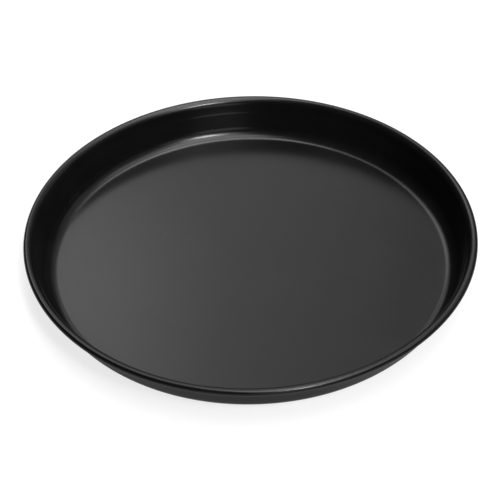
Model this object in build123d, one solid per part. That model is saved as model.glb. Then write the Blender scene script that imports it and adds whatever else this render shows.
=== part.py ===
from build123d import *
import math
import os

# A round pizza pan of pressed sheet steel with a wired rim, in millimetres.
# +Z is up. The origin is the centre of the flat underside, on the axis of the pan.

# Driving dimensions. wall_spread is how far the rim stands out past the flat base, and lip_ease is how
# much wider the lip turns out than the bead is rolled.
rim_diameter = 280.0
pan_height = 25.0
wall_spread = 19.2
sheet_thickness = 0.8
corner_inside_radius = 8.6
wire_diameter = 1.8
wire_clearance = 0.15
wire_butt_gap = 0.6
lip_ease = 2.75

# Angles in degrees. curl_wrap is how far the edge is rolled over from the top of the lip.
quarter_turn = 90.0
curl_wrap = 250.0

# Radii and centres of the section, worked out from the driving dimensions
rim_radius = rim_diameter / 2
base_radius = rim_radius - wall_spread
corner_outside_radius = corner_inside_radius + sheet_thickness
curl_inside_radius = wire_diameter / 2 + wire_clearance
bead_radius = curl_inside_radius + sheet_thickness
lip_underside_radius = curl_inside_radius + lip_ease
lip_radius = lip_underside_radius + sheet_thickness
wire_ring_radius = rim_radius - bead_radius

corner_centre = Vector(base_radius, 0, corner_outside_radius)
bead_centre = Vector(wire_ring_radius, 0, pan_height - bead_radius)
lip_centre = Vector(wire_ring_radius, 0, pan_height - lip_radius)


def wall_lean():
    """The wall's angle from upright, in degrees.

    The wall is the line that touches the inside of the corner on its outer side and the lip on its
    inner side, so it crosses the line between the two centres.
    """
    span = lip_centre - corner_centre
    climb = math.degrees(math.atan2(span.Z, span.X))
    cross = math.degrees(math.asin((corner_inside_radius + lip_radius) / span.length))
    return quarter_turn - climb - cross


def on_circle(centre, radius, angle):
    """The point of a circle in the section at an angle in degrees, up from the outward direction."""
    turn = math.radians(angle)
    return centre + radius * Vector(math.cos(turn), 0, math.sin(turn))


def arc(centre, radius, first, last):
    """The arc of a circle in the section from one angle to another."""
    middle = (first + last) / 2
    return ThreePointArc(*[on_circle(centre, radius, angle) for angle in (first, middle, last)])


def sheet_section():
    """The closed section of the sheet: floor, corner, wall, lip and the curl round the wire."""
    down = -quarter_turn
    top = quarter_turn
    corner_end = -wall_lean()
    lip_start = corner_end + 2 * quarter_turn
    curl_end = top - curl_wrap
    axis_top = Vector(0, 0, sheet_thickness)
    inside = [
        Line(axis_top, on_circle(corner_centre, corner_inside_radius, down)),
        arc(corner_centre, corner_inside_radius, down, corner_end),
        Line(
            on_circle(corner_centre, corner_inside_radius, corner_end),
            on_circle(lip_centre, lip_radius, lip_start),
        ),
        arc(lip_centre, lip_radius, lip_start, top),
        arc(bead_centre, bead_radius, top, curl_end),
    ]
    cut_edge = Line(
        on_circle(bead_centre, bead_radius, curl_end),
        on_circle(bead_centre, curl_inside_radius, curl_end),
    )
    outside = [
        arc(bead_centre, curl_inside_radius, curl_end, top),
        arc(lip_centre, lip_underside_radius, top, lip_start),
        Line(
            on_circle(lip_centre, lip_underside_radius, lip_start),
            on_circle(corner_centre, corner_outside_radius, corner_end),
        ),
        arc(corner_centre, corner_outside_radius, corner_end, down),
        Line(on_circle(corner_centre, corner_outside_radius, down), Vector(0, 0, 0)),
    ]
    on_axis = Line(Vector(0, 0, 0), axis_top)
    return make_face([*inside, cut_edge, *outside, on_axis])


def pan_body():
    """The pressed sheet, its section turned once round the axis."""
    return revolve(sheet_section(), axis=Axis.Z)


def rim_wire():
    """The wire ring inside the curl, open by the small gap where its two ends meet, at +X."""
    section = Plane(bead_centre, x_dir=(1, 0, 0), z_dir=(0, -1, 0)) * Circle(wire_diameter / 2)
    gap_angle = math.degrees(wire_butt_gap / wire_ring_radius)
    ring = revolve(section, axis=Axis.Z, revolution_arc=4 * quarter_turn - gap_angle)
    return Rot(0, 0, gap_angle / 2) * ring


if __name__ == "__main__":
    os.makedirs("parts", exist_ok=True)
    export_step(pan_body(), "parts/pan_body.step")
    export_step(rim_wire(), "parts/rim_wire.step")
    print("wall leans out by", round(wall_lean(), 2), "degrees; bead is", 2 * bead_radius, "mm thick")
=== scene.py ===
import math

import bpy
import numpy as np
from bpy.props import FloatProperty, FloatVectorProperty, IntProperty, PointerProperty
from mathutils import Matrix, Vector


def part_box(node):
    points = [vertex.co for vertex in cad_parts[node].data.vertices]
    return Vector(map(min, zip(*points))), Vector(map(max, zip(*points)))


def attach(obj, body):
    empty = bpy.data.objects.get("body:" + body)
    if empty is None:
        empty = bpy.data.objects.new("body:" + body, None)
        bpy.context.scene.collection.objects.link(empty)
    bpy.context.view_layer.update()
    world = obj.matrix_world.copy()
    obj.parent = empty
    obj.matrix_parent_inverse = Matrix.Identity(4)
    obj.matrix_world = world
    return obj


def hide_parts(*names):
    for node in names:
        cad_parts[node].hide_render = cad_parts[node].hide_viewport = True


# A round pizza pan of pressed sheet steel, coated satin black, with a rim that is rolled round a wire.
# Lengths are in metres and +Z is up. The pan stands on the plane z = 0, with its axis on Z.

bl_info = {
    "name": "Pizza pan",
    "version": (1, 0, 0),
    "blender": (4, 5, 0),
    "location": "3D View > Sidebar > Pizza pan",
    "description": "Makes a round pizza pan with a wired rim, its finishes and a plain studio round it",
    "category": "Object",
}

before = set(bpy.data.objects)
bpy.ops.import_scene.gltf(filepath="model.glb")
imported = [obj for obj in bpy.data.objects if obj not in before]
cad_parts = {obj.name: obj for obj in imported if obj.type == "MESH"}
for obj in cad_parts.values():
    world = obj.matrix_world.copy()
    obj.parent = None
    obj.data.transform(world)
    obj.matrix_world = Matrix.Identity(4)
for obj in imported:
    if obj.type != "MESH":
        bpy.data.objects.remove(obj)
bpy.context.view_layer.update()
PAN_LOW, PAN_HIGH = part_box("pan_body")
WIRE_LOW, WIRE_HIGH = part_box("rim_wire")

# Sizes that the frame gives. The wire runs in the middle of the rolled bead.
RIM_RADIUS = min(PAN_HIGH.x, PAN_HIGH.y, -PAN_LOW.x, -PAN_LOW.y)
PAN_HEIGHT = PAN_HIGH.z
WIRE_DIAMETER = WIRE_HIGH.z - WIRE_LOW.z
BEAD_DIAMETER = 2 * (RIM_RADIUS - WIRE_HIGH.x) + WIRE_DIAMETER

MILLIMETRE = 0.001
FULL_TURN = 2 * math.pi
QUARTER_TURN = math.pi / 2

# Points along each stretch of the sheet's section, ends included
SECTION_POINTS = {
    "floor": 16,
    "corner": 26,
    "wall": 50,
    "lip": 18,
    "bead": 40,
    "cut_edge": 11,
    "curl": 24,
    "lip_under": 14,
    "wall_under": 24,
    "corner_under": 16,
    "base": 10,
}

# The power of the superellipse that rounds the cut edge: 2 is a plain ellipse, and more is squarer
CUT_EDGE_POWER = 6

# The waves that the rim wanders in, as (waves round the rim, phase in radians)
RIM_WAVES = ((2, 0.6), (3, 2.1), (7, 4.0))


class PanSizes(bpy.types.PropertyGroup):
    """Sizes of the pressed sheet."""

    rim_diameter: FloatProperty(
        name="Rim diameter",
        description="Across the outside of the rolled bead",
        default=2 * RIM_RADIUS,
        unit="LENGTH",
        precision=4,
    )
    height: FloatProperty(
        name="Height",
        description="From the underside to the top of the rim",
        default=PAN_HEIGHT,
        unit="LENGTH",
        precision=4,
    )
    wall_spread: FloatProperty(
        name="Wall spread",
        description="How far the rim stands out past the flat base",
        default=19.2 * MILLIMETRE,
        unit="LENGTH",
        precision=5,
    )
    sheet_thickness: FloatProperty(
        name="Sheet thickness",
        description="Thickness of the steel sheet",
        default=0.8 * MILLIMETRE,
        unit="LENGTH",
        precision=4,
    )
    corner_radius: FloatProperty(
        name="Corner radius",
        description="Inside radius between the floor and the wall",
        default=8.6 * MILLIMETRE,
        unit="LENGTH",
        precision=4,
    )
    bead_diameter: FloatProperty(
        name="Bead diameter",
        description="Thickness of the rolled bead at the rim",
        default=BEAD_DIAMETER,
        unit="LENGTH",
        precision=4,
    )
    lip_ease: FloatProperty(
        name="Lip ease",
        description="How much wider the lip turns out than the bead is rolled",
        default=2.75 * MILLIMETRE,
        unit="LENGTH",
        precision=5,
    )
    curl_wrap: FloatProperty(
        name="Curl wrap",
        description="How far the edge is rolled over from the top of the lip",
        default=math.radians(250),
        subtype="ANGLE",
    )
    edge_break: FloatProperty(
        name="Edge break",
        description="How far the corners of the cut edge are rounded off",
        default=0.15 * MILLIMETRE,
        unit="LENGTH",
        precision=5,
    )
    draw_line_height: FloatProperty(
        name="Draw line height",
        description="Height of the faint line that pressing left round the wall",
        default=15.6 * MILLIMETRE,
        unit="LENGTH",
        precision=4,
    )
    draw_line_width: FloatProperty(
        name="Draw line width",
        description="Height over which the wall steps outwards at the draw line",
        default=1.3 * MILLIMETRE,
        unit="LENGTH",
        precision=5,
    )
    draw_line_step: FloatProperty(
        name="Draw line step",
        description="How far the wall steps outwards at the draw line",
        default=0.07 * MILLIMETRE,
        unit="LENGTH",
        precision=6,
    )
    floor_crown: FloatProperty(
        name="Floor crown",
        description="How far the middle of the floor stands up from pressing",
        default=0.12 * MILLIMETRE,
        unit="LENGTH",
        precision=6,
    )
    rim_waviness: FloatProperty(
        name="Rim waviness",
        description="How far the rim wanders inwards from a true circle",
        default=0.08 * MILLIMETRE,
        unit="LENGTH",
        precision=6,
    )
    steps_round: IntProperty(
        name="Steps round",
        description="Faces round the pan",
        default=400,
        min=64,
        max=480,
    )


class PanFinishes(bpy.types.PropertyGroup):
    """Colours and gloss of the pan's two finishes."""

    coating_colour: FloatVectorProperty(
        name="Coating colour",
        description="Colour of the satin black coating",
        default=(0.0055, 0.0055, 0.0055),
        size=3,
        min=0,
        max=1,
        subtype="COLOR",
    )
    film_colour: FloatVectorProperty(
        name="Film colour",
        description="Colour of the coating where it was wiped and handled",
        default=(0.008, 0.008, 0.008),
        size=3,
        min=0,
        max=1,
        subtype="COLOR",
    )
    coating_roughness: FloatProperty(
        name="Coating roughness",
        description="Roughness of the clean coating",
        default=0.20,
        min=0,
        max=1,
        subtype="FACTOR",
    )
    coating_ior: FloatProperty(
        name="Coating IOR",
        description="Index of refraction of the coating",
        default=1.41,
        min=1,
        max=2,
    )
    peel_size: FloatProperty(
        name="Peel size",
        description="Distance between the soft waves that spraying left in the coating",
        default=1.6 * MILLIMETRE,
        unit="LENGTH",
        precision=5,
    )
    peel_depth: FloatProperty(
        name="Peel depth",
        description="Depth of the soft waves in the coating",
        default=0.0012 * MILLIMETRE,
        unit="LENGTH",
        precision=7,
    )
    peel_tooth: FloatProperty(
        name="Peel tooth",
        description="How much of the coating's relief is fine tooth",
        default=0.35,
        min=0,
        max=1,
        subtype="FACTOR",
    )
    peel_roughness: FloatProperty(
        name="Peel roughness",
        description="Roughness that the soft waves add where they are highest",
        default=0.012,
    )
    film_size: FloatProperty(
        name="Film size",
        description="Distance between the clouds of film on the coating",
        default=34 * MILLIMETRE,
        unit="LENGTH",
        precision=4,
    )
    film_streak: FloatProperty(
        name="Film streak",
        description="How much longer the clouds of film are along X than along Y",
        default=1.4,
        min=0.1,
    )
    film_strength: FloatProperty(
        name="Film strength",
        description="How much of the film's colour shows where the film is thickest",
        default=0.7,
        min=0,
        max=1,
        subtype="FACTOR",
    )
    film_roughness: FloatProperty(
        name="Film roughness",
        description="Roughness that the film adds where it is thickest",
        default=0.012,
    )
    wiped_roughness: FloatProperty(
        name="Wiped roughness",
        description="Roughness that the wiped arc adds",
        default=0.02,
    )
    dust_roughness: FloatProperty(
        name="Dust roughness",
        description="Roughness that the speck of dust adds",
        default=0.25,
    )
    wire_colour: FloatVectorProperty(
        name="Wire colour",
        description="Colour of the drawn steel wire",
        default=(0.5, 0.49, 0.47),
        size=3,
        min=0,
        max=1,
        subtype="COLOR",
    )
    wire_roughness: FloatProperty(
        name="Wire roughness",
        description="Roughness of the drawn steel wire",
        default=0.32,
        min=0,
        max=1,
        subtype="FACTOR",
    )
    wire_line_size: FloatProperty(
        name="Wire line size",
        description="Distance between the lines that drawing left on the wire",
        default=0.12 * MILLIMETRE,
        unit="LENGTH",
        precision=6,
    )
    wire_line_depth: FloatProperty(
        name="Wire line depth",
        description="Depth of the lines that drawing left on the wire",
        default=0.004 * MILLIMETRE,
        unit="LENGTH",
        precision=7,
    )
    wire_line_tooth: FloatProperty(
        name="Wire line tooth",
        description="How much of the wire's relief is fine tooth",
        default=0.3,
        min=0,
        max=1,
        subtype="FACTOR",
    )
    wire_line_roughness: FloatProperty(
        name="Wire line roughness",
        description="Roughness that the wire's lines add where they are highest",
        default=0.15,
    )
    wire_film_size: FloatProperty(
        name="Wire film size",
        description="Distance between the clouds of film on the wire",
        default=12 * MILLIMETRE,
        unit="LENGTH",
        precision=4,
    )
    wire_film_shade: FloatProperty(
        name="Wire film shade",
        description="Brightness of the wire under the film, as a share of the clean wire's",
        default=0.7,
        min=0,
        max=1,
        subtype="FACTOR",
    )


class PanStudio(bpy.types.PropertyGroup):
    """The floor, the camera and the room."""

    floor_colour: FloatVectorProperty(
        name="Floor colour",
        description="Colour of the plain floor",
        default=(0.3, 0.3, 0.3),
        size=3,
        min=0,
        max=1,
        subtype="COLOR",
    )
    floor_glow: FloatProperty(
        name="Floor glow",
        description="Light that the floor adds where the camera sees it, so that it shows white",
        default=0.78,
        min=0,
    )
    mirrored_share: FloatProperty(
        name="Mirrored share",
        description="How much of the floor's glow the pan's gloss mirrors",
        default=0.3,
        min=0,
        max=1,
        subtype="FACTOR",
    )
    floor_grain_size: FloatProperty(
        name="Floor grain size",
        description="Distance between the soft waves in the floor's gloss",
        default=4 * MILLIMETRE,
        unit="LENGTH",
        precision=4,
    )
    floor_reach: FloatProperty(
        name="Floor reach",
        description="Half the width of the floor",
        default=30 * RIM_RADIUS,
        unit="LENGTH",
    )
    floor_drop: FloatProperty(
        name="Floor drop",
        description="How far the floor lies below the pan's underside",
        default=0.05 * MILLIMETRE,
        unit="LENGTH",
        precision=6,
    )
    room_level: FloatProperty(
        name="Room level",
        description="Brightness of the room that lights the pan and is mirrored in it",
        default=0.0,
        min=0,
    )
    view_elevation: FloatProperty(
        name="View elevation",
        description="Camera's height above the horizon, seen from the pan",
        default=math.radians(41.17),
        subtype="ANGLE",
    )
    view_roll: FloatProperty(
        name="View roll",
        description="Turn of the camera about its own axis",
        default=math.radians(1.14),
        subtype="ANGLE",
    )
    view_distance: FloatProperty(
        name="View distance",
        description="Distance from the camera to the middle of the pan",
        default=8 * RIM_RADIUS,
        unit="LENGTH",
    )
    aim_below: FloatProperty(
        name="Aim below",
        description="How far below the middle of the pan the camera aims",
        default=2.97 * MILLIMETRE,
        unit="LENGTH",
        precision=5,
    )
    aim_right: FloatProperty(
        name="Aim right",
        description="How far to the right of the middle of the pan the camera aims",
        default=-0.42 * MILLIMETRE,
        unit="LENGTH",
        precision=5,
    )
    lens: FloatProperty(
        name="Lens",
        description="Focal length of the camera, in millimetres",
        default=129.6,
        min=1,
    )


def arc(centre, radius, first, last, count):
    """Points of a circle in the section: centre + radius (cos a, sin a), with a even from first to last."""
    angle = np.linspace(first, last, count)
    return np.asarray(centre) + radius * np.column_stack((np.cos(angle), np.sin(angle)))


def straight(start, end, count):
    """Points of a line in the section: start + t (end - start), with t even from 0 to 1."""
    share = np.linspace(0, 1, count)[:, None]
    return np.asarray(start) + share * (np.asarray(end) - np.asarray(start))


def smooth_step(value):
    """0 below 0, 1 above 1, and 3 v^2 - 2 v^3 between them."""
    value = np.clip(value, 0, 1)
    return value * value * (3 - 2 * value)


def cut_edge(centre, inner, outer, angle, break_length, count):
    """The sheared edge that ends the curl, as half a superellipse across the sheet.

    With t even from 90 to -90 degrees and the power p, the point lies at the middle radius plus half the
    sheet times sin(t) to the power 2 / p, with the sine's sign kept. It stands on from the end angle by
    the break times cos(t) to the power 2 / p. The two ends are left to the arcs beside it.
    """
    turn = np.linspace(QUARTER_TURN, -QUARTER_TURN, count)[1:-1]
    power = 2 / CUT_EDGE_POWER
    across = np.sign(np.sin(turn)) * np.abs(np.sin(turn)) ** power
    onward = np.cos(turn) ** power
    radius = (inner + outer) / 2 + (outer - inner) / 2 * across
    turned = angle - break_length * onward / radius
    return np.asarray(centre) + np.column_stack((radius * np.cos(turned), radius * np.sin(turned)))


def sheet_section(sizes):
    """The closed section of the sheet as rows of (radius, height), from the axis above to the axis below.

    The wall is the line that touches the corner's arc on its outer side and the lip's arc on its inner
    side: it leans from upright by 90 degrees, less the climb between the two centres, less the angle whose
    sine is the two radii over the distance between the centres.
    """
    thickness = sizes.sheet_thickness
    rim = sizes.rim_diameter / 2
    bead = sizes.bead_diameter / 2
    curl = bead - thickness
    lip_under = curl + sizes.lip_ease
    lip = lip_under + thickness
    corner = sizes.corner_radius
    corner_out = corner + thickness
    corner_centre = np.array((rim - sizes.wall_spread, corner_out))
    bead_centre = np.array((rim - bead, sizes.height - bead))
    lip_centre = np.array((rim - bead, sizes.height - lip))
    span = lip_centre - corner_centre
    climb = math.atan2(span[1], span[0])
    lean = QUARTER_TURN - climb - math.asin((corner + lip) / np.hypot(*span))
    wall_side = math.pi - lean
    break_angle = sizes.edge_break / (curl + thickness / 2)
    curl_end = QUARTER_TURN - sizes.curl_wrap + break_angle

    count = SECTION_POINTS
    corner_arc = arc(corner_centre, corner, -QUARTER_TURN, -lean, count["corner"])
    lip_arc = arc(lip_centre, lip, wall_side, QUARTER_TURN, count["lip"])
    corner_below = arc(corner_centre, corner_out, -lean, -QUARTER_TURN, count["corner_under"])
    lip_below = arc(lip_centre, lip_under, QUARTER_TURN, wall_side, count["lip_under"])
    return np.concatenate((
        straight((0, thickness), corner_arc[0], count["floor"])[:-1],
        corner_arc,
        straight(corner_arc[-1], lip_arc[0], count["wall"])[1:-1],
        lip_arc,
        arc(bead_centre, bead, QUARTER_TURN, curl_end, count["bead"])[1:],
        cut_edge(bead_centre, curl, bead, curl_end, sizes.edge_break, count["cut_edge"]),
        arc(bead_centre, curl, curl_end, QUARTER_TURN, count["curl"]),
        lip_below[1:],
        straight(lip_below[-1], corner_below[0], count["wall_under"])[1:-1],
        corner_below,
        straight(corner_below[-1], (0, 0), count["base"])[1:],
    ))


def pressed_shape(section, angle, sizes):
    """The turned sheet with the small departures that pressing leaves, as (x, y, z) arrays.

    Each is a function of the section's radius r and height z and of the angle a round the axis:
    the floor rises by the crown times (1 - (r / base radius)^2)^2 inside the base;
    the wall moves out by the draw line's step times a smooth step in z, which dies away again below the
    bead;
    the wall moves in by the waviness times s^2 (1 - w(a)) / 2, where s goes from 0 at the base to 1 at the
    rim, and w(a) is the mean of cos(n a + p) over the rim's waves n and their phases p.
    """
    base = sizes.rim_diameter / 2 - sizes.wall_spread
    radius = section[:, :1]
    height = section[:, 1:]
    crown = sizes.floor_crown * (1 - np.clip(radius / base, 0, 1) ** 2) ** 2
    fade = (sizes.height - sizes.bead_diameter - sizes.draw_line_height) / 2
    stepped = smooth_step((height - sizes.draw_line_height) / sizes.draw_line_width)
    faded = 1 - smooth_step((height - sizes.draw_line_height - fade) / fade)
    rise = np.clip((radius - base) / sizes.wall_spread, 0, 1) ** 2
    wander = sum(np.cos(waves * angle + phase) for waves, phase in RIM_WAVES) / len(RIM_WAVES)
    out = radius + sizes.draw_line_step * stepped * faded - sizes.rim_waviness * rise * (1 - wander) / 2
    return out * np.cos(angle), out * np.sin(angle), (height + crown) * np.ones_like(angle)


def turned_mesh(name, section, sizes):
    """A closed mesh of the section carried once round Z, with one point at each end on the axis.

    Point (i, j) is the section's point i at the angle j times a full turn over the number of steps.
    Faces join (i, j), (i + 1, j), (i + 1, j + 1) and (i, j + 1), and fans close the two poles.
    """
    steps = sizes.steps_round
    angle = np.arange(steps)[None, :] * FULL_TURN / steps
    rings = np.stack(pressed_shape(section[1:-1], angle, sizes), axis=-1)
    poles = np.stack(pressed_shape(section[[0, -1]], angle[:, :1], sizes), axis=-1)
    points = np.concatenate((rings.reshape(-1, 3), poles.reshape(-1, 3)))
    count = len(rings)
    top_pole = count * steps
    here = np.arange(steps)
    after = (here + 1) % steps
    row = np.arange(count - 1)[:, None] * steps
    quads = np.stack((row + here, row + steps + here, row + steps + after, row + after), axis=-1)
    last = (count - 1) * steps
    top_fan = np.column_stack((np.full(steps, top_pole), here, after))
    low_fan = np.column_stack((last + here, np.full(steps, top_pole + 1), last + after))
    mesh = bpy.data.meshes.new(name)
    mesh.from_pydata(points, [], [*quads.reshape(-1, 4).tolist(), *top_fan.tolist(), *low_fan.tolist()])
    mesh.polygons.foreach_set("use_smooth", np.ones(len(mesh.polygons), dtype=bool))
    mesh.update()
    return mesh


# Places of the colour sockets on a Mix node, whose sockets for other kinds of value have the same names
MIX_FIRST_COLOUR = 6
MIX_SECOND_COLOUR = 7
MIX_COLOUR_RESULT = 2


def add_object(name, data):
    """A new object at the origin, in the scene."""
    made = bpy.data.objects.new(name, data)
    bpy.context.scene.collection.objects.link(made)
    return made


def add_node(tree, kind, inputs=(), **settings):
    """A node of that kind, with its settings, and its inputs filled from (name, value or socket) pairs."""
    node = tree.nodes.new("ShaderNode" + kind)
    for key, value in settings.items():
        setattr(node, key, value)
    for name, value in dict(inputs).items():
        if isinstance(value, bpy.types.NodeSocket):
            tree.links.new(value, node.inputs[name])
        else:
            node.inputs[name].default_value = value
    return node


def maths(tree, operation, *values):
    """The output of a Math node that works on these values or sockets."""
    return add_node(tree, "Math", enumerate(values), operation=operation).outputs[0]


def remap(tree, value, low, high, to_low, to_high, smooth=False):
    """The output of a Map Range node, held within its range."""
    pairs = {"Value": value, "From Min": low, "From Max": high, "To Min": to_low, "To Max": to_high}
    kind = "SMOOTHSTEP" if smooth else "LINEAR"
    return add_node(tree, "MapRange", pairs, interpolation_type=kind).outputs["Result"]


def mixed_colour(tree, share, first, second):
    """The colour between two fixed ones: the first where the share is 0, and the second where it is 1."""
    mix = add_node(tree, "Mix", {"Factor": share}, data_type="RGBA")
    mix.inputs[MIX_FIRST_COLOUR].default_value = (*first, 1)
    mix.inputs[MIX_SECOND_COLOUR].default_value = (*second, 1)
    return mix.outputs[MIX_COLOUR_RESULT]


def axis_distance(tree, place):
    """The distance of a place from the axis Z: the length of (x, y, 0)."""
    flat = add_node(tree, "VectorMath", {0: place, 1: (1.0, 1.0, 0.0)}, operation="MULTIPLY")
    return add_node(tree, "VectorMath", {0: flat.outputs[0]}, operation="LENGTH").outputs["Value"]


def new_material(name):
    """An empty node material with its Principled BSDF wired to the output, as (material, tree, shader)."""
    material = bpy.data.materials.new(name)
    material.use_nodes = True
    tree = material.node_tree
    tree.nodes.clear()
    shader = add_node(tree, "BsdfPrincipled")
    output = add_node(tree, "OutputMaterial")
    tree.links.new(shader.outputs["BSDF"], output.inputs["Surface"])
    return material, tree, shader


def new_group(name, inputs, outputs):
    """An empty shader node group with these sockets, as (group, its input node, its output node)."""
    group = bpy.data.node_groups.new(name, "ShaderNodeTree")
    for side, sockets in (("INPUT", inputs), ("OUTPUT", outputs)):
        for socket_name, kind in sockets:
            group.interface.new_socket(socket_name, in_out=side, socket_type="NodeSocket" + kind)
    return group, group.nodes.new("NodeGroupInput"), group.nodes.new("NodeGroupOutput")


def use_group(tree, group, inputs):
    """A group node in the tree, with its inputs filled."""
    return add_node(tree, "Group", inputs, node_tree=group)


# The grain's two scales: how many times finer the tooth is than the waves, and the detail of each
TOOTH_FINENESS = 12.0
GRAIN_DETAIL = 1.0


def surface_grain_group():
    """The grain of a surface at two scales: soft waves, and a fine tooth over them.

    Size is the distance between the waves, and Fine the share of the height that is the tooth, which is
    finer by a fixed ratio. Height and Tone go from 0 to 1, and Tone is the waves alone.
    """
    name = "Surface grain"
    if name in bpy.data.node_groups:
        return bpy.data.node_groups[name]
    group, given, put = new_group(
        name,
        [("Vector", "Vector"), ("Size", "Float"), ("Fine", "Float")],
        [("Height", "Float"), ("Tone", "Float")],
    )
    place = given.outputs["Vector"]
    scale = maths(group, "DIVIDE", 1.0, given.outputs["Size"])
    finer = maths(group, "MULTIPLY", scale, TOOTH_FINENESS)
    waves, tooth = (
        add_node(group, "TexNoise", {"Vector": place, "Scale": fineness, "Detail": GRAIN_DETAIL}).outputs[0]
        for fineness in (scale, finer)
    )
    height = add_node(group, "Mix", {"Factor": given.outputs["Fine"], "A": waves, "B": tooth})
    group.links.new(height.outputs["Result"], put.inputs["Height"])
    group.links.new(waves, put.inputs["Tone"])
    return group


# The clouds of film: the noise's octaves, their roughness and how far they swirl, and the values of the
# noise where the film begins and where it is thickest
CLOUD_DETAIL = 3.0
CLOUD_ROUGHNESS = 0.55
CLOUD_SWIRL = 0.6
FILM_BEGINS = 0.42
FILM_THICKEST = 0.72


def handling_group():
    """The faint film that wiping and handling leave: large soft clouds, streaked one way.

    Size is the distance between the clouds, and Streak how much longer they are along X than along Y.
    Mask goes from 0, clean, to 1, where the film is thickest.
    """
    name = "Handling film"
    if name in bpy.data.node_groups:
        return bpy.data.node_groups[name]
    group, given, put = new_group(
        name,
        [("Vector", "Vector"), ("Size", "Float"), ("Streak", "Float")],
        [("Mask", "Float")],
    )
    split = add_node(group, "SeparateXYZ", {"Vector": given.outputs["Vector"]})
    along = maths(group, "DIVIDE", split.outputs["X"], given.outputs["Streak"])
    place = add_node(group, "CombineXYZ", {"X": along, "Y": split.outputs["Y"], "Z": split.outputs["Z"]})
    scale = maths(group, "DIVIDE", 1.0, given.outputs["Size"])
    clouds = add_node(group, "TexNoise", {
        "Vector": place.outputs[0],
        "Scale": scale,
        "Detail": CLOUD_DETAIL,
        "Roughness": CLOUD_ROUGHNESS,
        "Distortion": CLOUD_SWIRL,
    })
    mask = remap(group, clouds.outputs[0], FILM_BEGINS, FILM_THICKEST, 0.0, 1.0, smooth=True)
    group.links.new(mask, put.inputs["Mask"])
    return group


def spot_mask(tree, place, centre, radius):
    """A soft round spot: 1 at its centre, and 0 from its radius outwards."""
    away = add_node(tree, "VectorMath", {0: place, 1: centre}, operation="DISTANCE")
    return remap(tree, away.outputs["Value"], 0.0, radius, 1.0, 0.0, smooth=True)


# Marks on the floor of the pan, in metres from its middle. The wiped arc runs round the axis at its
# radius, dies away over its half width, and shows only within its reach of its own middle.
WIPED_ARC_RADIUS = 0.079
WIPED_ARC_HALF_WIDTH = 0.004
WIPED_ARC_MIDDLE = (-0.056, -0.056)
WIPED_ARC_REACH = 0.045
SPECK_PLACE = (-0.0576, 0.0261)
SPECK_RADIUS = 0.0009


def coating_material(sizes, finishes):
    """Satin black coating: sprayed waves and tooth, a faint film from handling, and a few small marks."""
    material, tree, shader = new_material("Satin black coating")
    place = add_node(tree, "TexCoord").outputs["Object"]
    grain = use_group(tree, surface_grain_group(), {
        "Vector": place, "Size": finishes.peel_size, "Fine": finishes.peel_tooth})
    film = use_group(tree, handling_group(), {
        "Vector": place, "Size": finishes.film_size, "Streak": finishes.film_streak})

    # A wiped arc at the front left of the floor, and a speck of dust behind it
    outward = maths(tree, "SUBTRACT", axis_distance(tree, place), WIPED_ARC_RADIUS)
    off_arc = maths(tree, "ABSOLUTE", outward)
    arc_line = remap(tree, off_arc, 0.0, WIPED_ARC_HALF_WIDTH, 1.0, 0.0, smooth=True)
    arc_seen = spot_mask(tree, place, (*WIPED_ARC_MIDDLE, sizes.sheet_thickness), WIPED_ARC_REACH)
    wiped = maths(tree, "MULTIPLY", arc_line, arc_seen)
    speck = spot_mask(tree, place, (*SPECK_PLACE, sizes.sheet_thickness), SPECK_RADIUS)

    film_share = maths(tree, "MULTIPLY", film.outputs["Mask"], finishes.film_strength)
    colour = mixed_colour(tree, film_share, finishes.coating_colour, finishes.film_colour)
    tree.links.new(colour, shader.inputs["Base Color"])

    rough = finishes.coating_roughness
    for mask, added in (
        (film.outputs["Mask"], finishes.film_roughness),
        (grain.outputs["Tone"], finishes.peel_roughness),
        (wiped, finishes.wiped_roughness),
        (speck, finishes.dust_roughness),
    ):
        rough = maths(tree, "MULTIPLY_ADD", mask, added, rough)
    tree.links.new(rough, shader.inputs["Roughness"])

    bump = add_node(tree, "Bump", {
        "Height": grain.outputs["Height"], "Distance": finishes.peel_depth, "Strength": 1.0})
    tree.links.new(bump.outputs["Normal"], shader.inputs["Normal"])
    shader.inputs["IOR"].default_value = finishes.coating_ior
    return material


# How far the wire's pattern runs for each radian round the ring, in metres. The ring itself runs eleven
# times as far, so the pattern is drawn out into lines.
WIRE_PATTERN_RUN = 0.012


def wire_material(finishes):
    """Drawn steel wire: fine lines that run along the ring, and a faint film over them."""
    material, tree, shader = new_material("Drawn steel wire")
    place = add_node(tree, "TexCoord").outputs["Object"]
    split = add_node(tree, "SeparateXYZ", {"Vector": place})
    turn = maths(tree, "ARCTAN2", split.outputs["Y"], split.outputs["X"])
    along = maths(tree, "MULTIPLY", turn, WIRE_PATTERN_RUN)
    unrolled = add_node(tree, "CombineXYZ", {
        "X": axis_distance(tree, place), "Y": along, "Z": split.outputs["Z"]}).outputs[0]
    grain = use_group(tree, surface_grain_group(), {
        "Vector": unrolled, "Size": finishes.wire_line_size, "Fine": finishes.wire_line_tooth})
    film = use_group(tree, handling_group(), {
        "Vector": place, "Size": finishes.wire_film_size, "Streak": 1.0})
    filmed = [finishes.wire_film_shade * channel for channel in finishes.wire_colour]
    colour = mixed_colour(tree, film.outputs["Mask"], finishes.wire_colour, filmed)
    tree.links.new(colour, shader.inputs["Base Color"])
    tone = grain.outputs["Tone"]
    rough = maths(tree, "MULTIPLY_ADD", tone, finishes.wire_line_roughness, finishes.wire_roughness)
    tree.links.new(rough, shader.inputs["Roughness"])
    bump = add_node(tree, "Bump", {"Height": grain.outputs["Height"], "Distance": finishes.wire_line_depth})
    tree.links.new(bump.outputs["Normal"], shader.inputs["Normal"])
    shader.inputs["Metallic"].default_value = 1.0
    return material


# The floor's roughness in the low and the high places of its grain, and the share of the grain that is
# tooth
FLOOR_LEAST_ROUGH = 0.75
FLOOR_MOST_ROUGH = 0.85
FLOOR_TOOTH = 0.5


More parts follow.
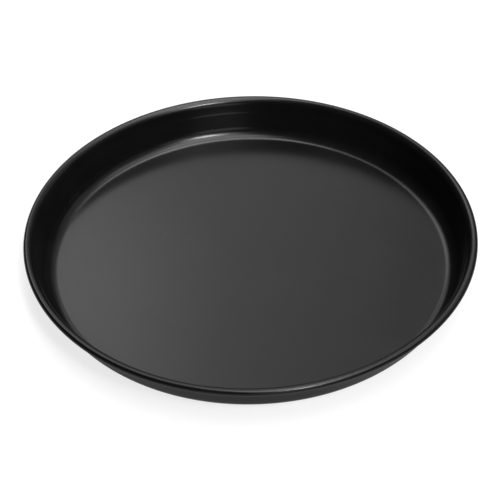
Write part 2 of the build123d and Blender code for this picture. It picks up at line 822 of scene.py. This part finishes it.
def floor_material(studio):
    """Plain pale floor. It takes the pan's shadow, and it glows where the camera sees it.

    Gloss mirrors a share of that glow, and the glow lights nothing else.
    """
    material, tree, shader = new_material("Pale floor")
    place = add_node(tree, "TexCoord").outputs["Object"]
    grain = use_group(tree, surface_grain_group(), {
        "Vector": place, "Size": studio.floor_grain_size, "Fine": FLOOR_TOOTH})
    rough = remap(tree, grain.outputs["Height"], 0.0, 1.0, FLOOR_LEAST_ROUGH, FLOOR_MOST_ROUGH)
    tree.links.new(rough, shader.inputs["Roughness"])
    path = add_node(tree, "LightPath")
    mirrored = maths(tree, "MULTIPLY", path.outputs["Is Glossy Ray"], studio.mirrored_share)
    seen = maths(tree, "MAXIMUM", path.outputs["Is Camera Ray"], path.outputs["Is Transmission Ray"])
    shown = maths(tree, "MAXIMUM", seen, mirrored)
    glow = maths(tree, "MULTIPLY", shown, studio.floor_glow)
    tree.links.new(glow, shader.inputs["Emission Strength"])
    shader.inputs["Emission Color"].default_value = (1, 1, 1, 1)
    shader.inputs["Base Color"].default_value = (*studio.floor_colour, 1)
    shader.inputs["Specular IOR Level"].default_value = 0.0
    return material


def room_world(studio):
    """The room: white where the camera sees it past the floor, and at the room's level where it lights."""
    world = bpy.data.worlds.new("Studio room")
    world.use_nodes = True
    tree = world.node_tree
    tree.nodes.clear()
    path = add_node(tree, "LightPath")
    level = remap(tree, path.outputs["Is Camera Ray"], 0.0, 1.0, studio.room_level, 1.0)
    background = add_node(tree, "Background", {"Color": (1, 1, 1, 1), "Strength": level})
    output = add_node(tree, "OutputWorld")
    tree.links.new(background.outputs[0], output.inputs["Surface"])
    return world


# The studio's soft lamps, as (name, azimuth, elevation, width, light). Azimuth 0 is behind the pan, +Y,
# and 90 is to its right, +X. Angles are in degrees, and the width is the angle that the lamp fills. Light is
# what a surface facing the lamp gets, where pi makes a white one just white.
LAMPS = (
    ("Key softbox", 152, 50, 10, 0.5),
    ("Key softbox top", 152, 57, 10, 0.64),
    ("Key bounce", 150, 61, 28, 0.25),
    ("Lower key bounce", 147, 36, 26, 0.12),
    ("Low front softbox", 165, 12, 26, 0.19),
    ("Rear left softbox", -13, 43, 14, 0.092),
    ("Rear softbox", -4, 43, 15, 0.05),
    ("Far rear left softbox", -24, 41, 16, 0.075),
    ("Lower rear left softbox", -15, 27, 12, 0.034),
    ("Lower rear softbox", 5, 31, 14, 0.03),
    ("Low rear softbox", -12, 20, 24, 0.035),
    ("Low rear fill", 2, 23, 26, 0.08),
    ("Rear fill", 16, 38, 44, 0.06),
    ("Rear right softbox", 20, 44, 24, 0.03),
    ("Right softbox", 62, 43, 36, 0.11),
    ("Front right softbox", 105, 42, 34, 0.055),
    ("Upper rear left softbox", -18, 58, 16, 0.075),
    ("Upper rear softbox", 5, 67, 18, 0.47),
    ("Upper rear right softbox", 18, 57, 14, 0.12),
    ("Upper right softbox", 44, 65, 26, 0.146),
    ("Upper side softbox", 78, 64, 26, 0.21),
    ("Upper front right softbox", 128, 64, 26, 0.166),
    ("Overhead softbox", 45, 80, 26, 0.218),
    ("Overhead front softbox", 125, 80, 26, 0.64),
)


def direction(azimuth, elevation):
    """The unit vector towards an azimuth and an elevation in degrees."""
    flat = math.cos(math.radians(elevation))
    across = flat * math.sin(math.radians(azimuth))
    along = flat * math.cos(math.radians(azimuth))
    return Vector((across, along, math.sin(math.radians(elevation))))


def add_lamp(name, azimuth, elevation, width, light):
    """A soft lamp far away in that direction. It fills that angle of the sky."""
    lamp = bpy.data.lights.new(name, "SUN")
    lamp.angle = math.radians(width)
    lamp.energy = light
    towards = direction(azimuth, elevation)
    placed = add_object(name, lamp)
    placed.rotation_euler = towards.to_track_quat("Z", "Y").to_euler()
    placed.location = towards


def turned_camera(studio):
    """The camera's place and turn: it looks from the front, down by its elevation, at the aim point."""
    elevation = studio.view_elevation
    middle = Vector((0, 0, PAN_HEIGHT / 2))
    back = Vector((0, -math.cos(elevation), math.sin(elevation)))
    upright = Vector((0, math.sin(elevation), math.cos(elevation)))
    right = Vector((1, 0, 0))
    aim = middle - upright * studio.aim_below + right * studio.aim_right
    place = middle + back * studio.view_distance
    away = (place - aim).normalized()
    level = upright.cross(away).normalized()
    over = away.cross(level)
    roll = studio.view_roll
    side = math.cos(roll) * level - math.sin(roll) * over
    top = math.sin(roll) * level + math.cos(roll) * over
    turn = Matrix((side, top, away)).transposed().to_4x4()
    turn.translation = place
    return turn


class PAN_OT_pressed_sheet(bpy.types.Operator):
    """Make the pressed and coated sheet: floor, corner, wall, lip and rolled bead"""

    bl_idname = "pizza_pan.pressed_sheet"
    bl_label = "Pressed sheet"

    def execute(self, context):
        sizes = context.scene.pan_sizes
        mesh = turned_mesh("pressed_sheet", sheet_section(sizes), sizes)
        mesh.materials.append(coating_material(sizes, context.scene.pan_finishes))
        sheet = add_object("pressed_sheet", mesh)
        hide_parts("pan_body")
        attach(sheet, "root")
        return {"FINISHED"}


class PAN_OT_rim_wire(bpy.types.Operator):
    """Give the wire ring inside the bead its drawn steel finish"""

    bl_idname = "pizza_pan.rim_wire"
    bl_label = "Rim wire"

    def execute(self, context):
        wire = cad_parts["rim_wire"]
        material = wire_material(context.scene.pan_finishes)
        for slot in wire.material_slots:
            slot.material = material
        return {"FINISHED"}


class PAN_OT_studio(bpy.types.Operator):
    """Make the pale floor, the soft lamps, the room and the camera"""

    bl_idname = "pizza_pan.studio"
    bl_label = "Studio"

    def execute(self, context):
        studio = context.scene.pan_studio
        corners = [
            (across * studio.floor_reach, along * studio.floor_reach, -studio.floor_drop)
            for across, along in ((-1, -1), (1, -1), (1, 1), (-1, 1))
        ]
        mesh = bpy.data.meshes.new("floor")
        mesh.from_pydata(corners, [], [(0, 1, 2, 3)])
        mesh.materials.append(floor_material(studio))
        add_object("floor", mesh)

        for name, azimuth, elevation, width, light in LAMPS:
            add_lamp(name, azimuth, elevation, width, light)

        camera = bpy.data.cameras.new("Camera")
        camera.lens = studio.lens
        placed = add_object("Camera", camera)
        placed.matrix_world = turned_camera(studio)
        context.scene.camera = placed
        context.scene.world = room_world(studio)
        context.scene.view_settings.view_transform = "Standard"
        return {"FINISHED"}


class VIEW3D_PT_pizza_pan(bpy.types.Panel):
    """The pan's pieces and its studio, in the order that they are made."""

    bl_label = "Pizza pan"
    bl_space_type = "VIEW_3D"
    bl_region_type = "UI"
    bl_category = "Pizza pan"

    def draw(self, context):
        for operator in OPERATORS:
            self.layout.operator(operator.bl_idname)


OPERATORS = (PAN_OT_pressed_sheet, PAN_OT_rim_wire, PAN_OT_studio)
SETTINGS = {"pan_sizes": PanSizes, "pan_finishes": PanFinishes, "pan_studio": PanStudio}


def register():
    for kind in (*SETTINGS.values(), *OPERATORS, VIEW3D_PT_pizza_pan):
        bpy.utils.register_class(kind)
    for name, kind in SETTINGS.items():
        setattr(bpy.types.Scene, name, PointerProperty(type=kind))


def unregister():
    for name in SETTINGS:
        delattr(bpy.types.Scene, name)
    for kind in reversed((*SETTINGS.values(), *OPERATORS, VIEW3D_PT_pizza_pan)):
        bpy.utils.unregister_class(kind)


def main():
    """Makes the pieces and the studio in order."""
    register()
    bpy.ops.pizza_pan.pressed_sheet()
    bpy.ops.pizza_pan.rim_wire()
    bpy.ops.pizza_pan.studio()


if __name__ == "__main__":
    main()
